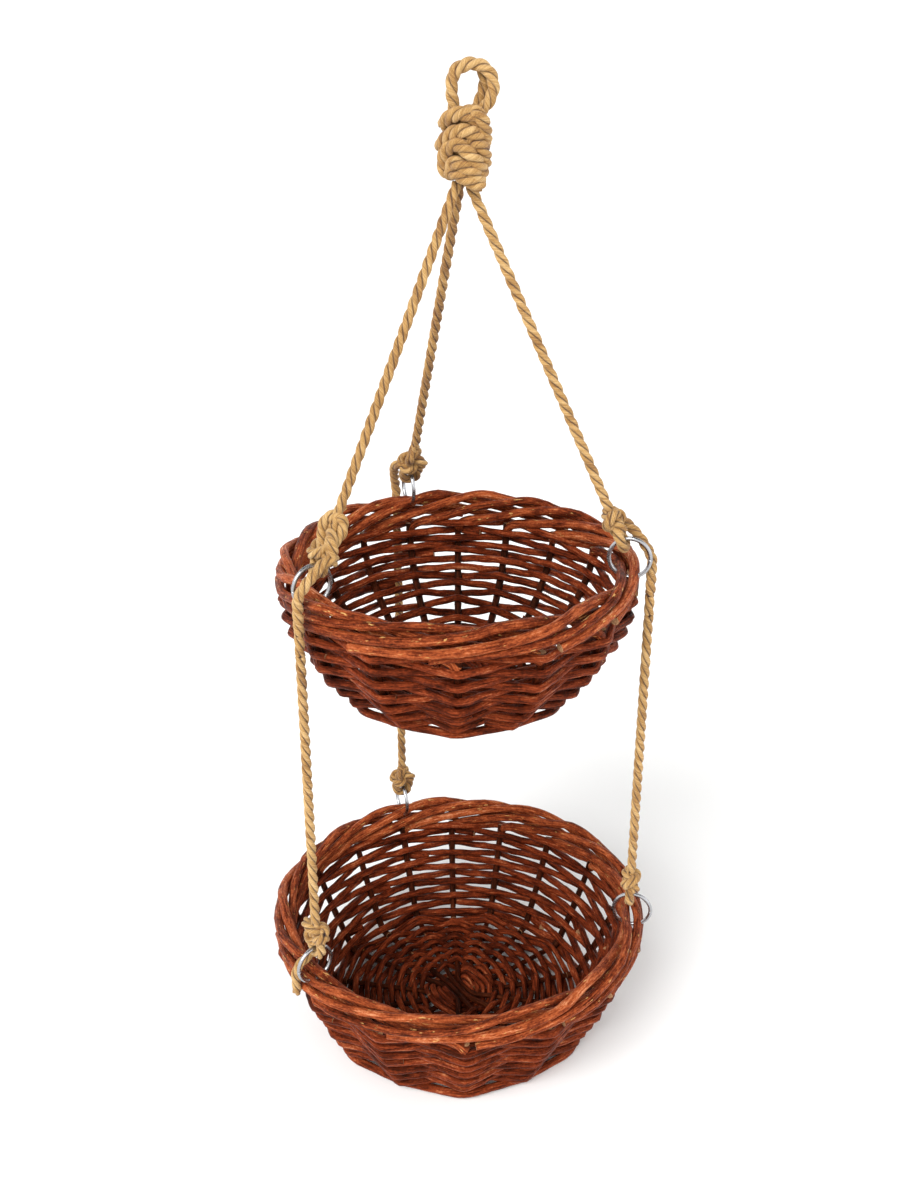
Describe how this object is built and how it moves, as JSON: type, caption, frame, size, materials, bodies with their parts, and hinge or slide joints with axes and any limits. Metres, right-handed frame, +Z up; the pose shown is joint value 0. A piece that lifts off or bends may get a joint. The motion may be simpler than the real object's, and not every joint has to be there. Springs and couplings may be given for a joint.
{
  "type": "hanging fruit basket",
  "caption": "Two round woven willow bowls hung one below the other on jute ropes, with metal rings at the rims and a wrapped knot and loop on top.",
  "frame": {"origin": "where a hook bears, inside the top of the hanging loop", "axes": "+Z up, +X to the right and -Y to the front, where the picture's camera stands"},
  "size_m": [0.3039, 0.2998, 0.7461],
  "materials": {
    "willow": "stained reddish brown, dull sheen",
    "jute_rope": "laid rope, dry and hairy",
    "ring_metal": "dull plated wire"
  },
  "bodies": {
    "hanging_loop": {"hanging_loop_front": "jute_rope", "hanging_loop_back": "jute_rope"},
    "crown": {"crown_wraps": "jute_rope", "crown_core": "jute_rope"},
    "cradle": {"rope_leg_back": "jute_rope", "rope_leg_left": "jute_rope", "rope_leg_right": "jute_rope", "upper_knot_back": "jute_rope", "upper_knot_left": "jute_rope", "upper_knot_right": "jute_rope", "upper_base_rounds": "willow", "upper_base_sticks": "willow", "upper_border": "willow", "upper_rounds_high": "willow", "upper_rounds_low": "willow", "upper_rounds_middle": "willow", "upper_stakes": "willow"},
    "lower_bowl": {"lower_base_rounds": "willow", "lower_base_sticks": "willow", "lower_border": "willow", "lower_rounds_high": "willow", "lower_rounds_low": "willow", "lower_rounds_middle": "willow", "lower_stakes": "willow", "rope_tail_left": "jute_rope"},
    "rope_link_left": {"rope_link_left": "jute_rope"},
    "drop_rope_left": {"drop_rope_left": "jute_rope"},
    "lower_knot_left": {"lower_knot_left": "jute_rope"},
    "rope_link_right": {"rope_link_right": "jute_rope"},
    "drop_rope_right": {"drop_rope_right": "jute_rope"},
    "lower_knot_right": {"lower_knot_right": "jute_rope"},
    "rope_link_back": {"rope_link_back": "jute_rope"},
    "drop_rope_back": {"drop_rope_back": "jute_rope"},
    "lower_knot_back": {"lower_knot_back": "jute_rope"},
    "upper_ring_left": {"upper_ring_left": "ring_metal"},
    "lower_ring_left": {"lower_ring_left": "ring_metal"},
    "upper_ring_right": {"upper_ring_right": "ring_metal"},
    "lower_ring_right": {"lower_ring_right": "ring_metal"},
    "upper_ring_back": {"upper_ring_back": "ring_metal"},
    "lower_ring_back": {"lower_ring_back": "ring_metal"}
  },
  "joints": [
    {"name": "crown_swing", "type": "hinge", "parent": "hanging_loop", "child": "crown", "pos_m": [-0.006, 0, -0.02], "axis": [1, 0, 0], "range_deg": [-20, 20]},
    {"name": "cradle_swing", "type": "hinge", "parent": "crown", "child": "cradle", "pos_m": [-0.006, 0, -0.074], "axis": [0, 1, 0], "range_deg": [-15, 15]},
    {"name": "link_sway_left", "type": "hinge", "parent": "cradle", "child": "rope_link_left", "pos_m": [-0.11497, -0.08996, -0.34598], "axis": [1, 0, 0], "range_deg": [-10, 10]},
    {"name": "drop_sway_left", "type": "hinge", "parent": "rope_link_left", "child": "drop_rope_left", "pos_m": [-0.11497, -0.08996, -0.36092], "axis": [0, 1, 0], "range_deg": [-10, 10]},
    {"name": "knot_sway_left", "type": "hinge", "parent": "drop_rope_left", "child": "lower_knot_left", "pos_m": [-0.11497, -0.08996, -0.58549], "axis": [0, 1, 0], "range_deg": [-10, 10]},
    {"name": "link_sway_right", "type": "hinge", "parent": "cradle", "child": "rope_link_right", "pos_m": [0.12751, -0.02619, -0.34598], "axis": [1, 0, 0], "range_deg": [-10, 10]},
    {"name": "drop_sway_right", "type": "hinge", "parent": "rope_link_right", "child": "drop_rope_right", "pos_m": [0.12751, -0.02619, -0.36092], "axis": [0, 1, 0], "range_deg": [-10, 10]},
    {"name": "knot_sway_right", "type": "hinge", "parent": "drop_rope_right", "child": "lower_knot_right", "pos_m": [0.12751, -0.02619, -0.58549], "axis": [0, 1, 0], "range_deg": [-10, 10]},
    {"name": "link_sway_back", "type": "hinge", "parent": "cradle", "child": "rope_link_back", "pos_m": [-0.05898, 0.1297, -0.34598], "axis": [1, 0, 0], "range_deg": [-10, 10]},
    {"name": "drop_sway_back", "type": "hinge", "parent": "rope_link_back", "child": "drop_rope_back", "pos_m": [-0.05898, 0.1297, -0.36092], "axis": [0, 1, 0], "range_deg": [-10, 10]},
    {"name": "knot_sway_back", "type": "hinge", "parent": "drop_rope_back", "child": "lower_knot_back", "pos_m": [-0.05898, 0.1297, -0.58549], "axis": [0, 1, 0], "range_deg": [-10, 10]},
    {"name": "bowl_sway", "type": "hinge", "parent": "lower_knot_left", "child": "lower_bowl", "pos_m": [-0.11497, -0.08996, -0.60722], "axis": [1, 0, 0], "range_deg": [-10, 10]},
    {"name": "upper_ring_left_turn", "type": "hinge", "parent": "cradle", "child": "upper_ring_left", "pos_m": [-0.10641, -0.07591, -0.316], "axis": [0.6147, -0.7888, 0], "continuous": true},
    {"name": "lower_ring_left_turn", "type": "hinge", "parent": "lower_bowl", "child": "lower_ring_left", "pos_m": [-0.11687, -0.09158, -0.6215], "axis": [0.6472, -0.7623, 0], "continuous": true},
    {"name": "upper_ring_right_turn", "type": "hinge", "parent": "cradle", "child": "upper_ring_right", "pos_m": [0.11121, -0.02833, -0.316], "axis": [0.2294, 0.9733, 0], "continuous": true},
    {"name": "lower_ring_right_turn", "type": "hinge", "parent": "lower_bowl", "child": "lower_ring_right", "pos_m": [0.12997, -0.02666, -0.6215], "axis": [0.1884, 0.9821, 0], "continuous": true},
    {"name": "upper_ring_back_turn", "type": "hinge", "parent": "cradle", "child": "upper_ring_back", "pos_m": [-0.04854, 0.117, -0.316], "axis": [-0.9474, -0.3202, 0], "continuous": true},
    {"name": "lower_ring_back_turn", "type": "hinge", "parent": "lower_bowl", "child": "lower_ring_back", "pos_m": [-0.05988, 0.13204, -0.6215], "axis": [-0.9331, -0.3596, 0], "continuous": true}
  ],
  "couplings": [
    {"joint": "knot_sway_left", "follows": "drop_sway_left", "ratio": -1},
    {"joint": "link_sway_right", "follows": "link_sway_left", "ratio": 1},
    {"joint": "drop_sway_right", "follows": "drop_sway_left", "ratio": 1},
    {"joint": "knot_sway_right", "follows": "drop_sway_left", "ratio": -1},
    {"joint": "link_sway_back", "follows": "link_sway_left", "ratio": 1},
    {"joint": "drop_sway_back", "follows": "drop_sway_left", "ratio": 1},
    {"joint": "knot_sway_back", "follows": "drop_sway_left", "ratio": -1},
    {"joint": "bowl_sway", "follows": "link_sway_left", "ratio": -1}
  ]
}
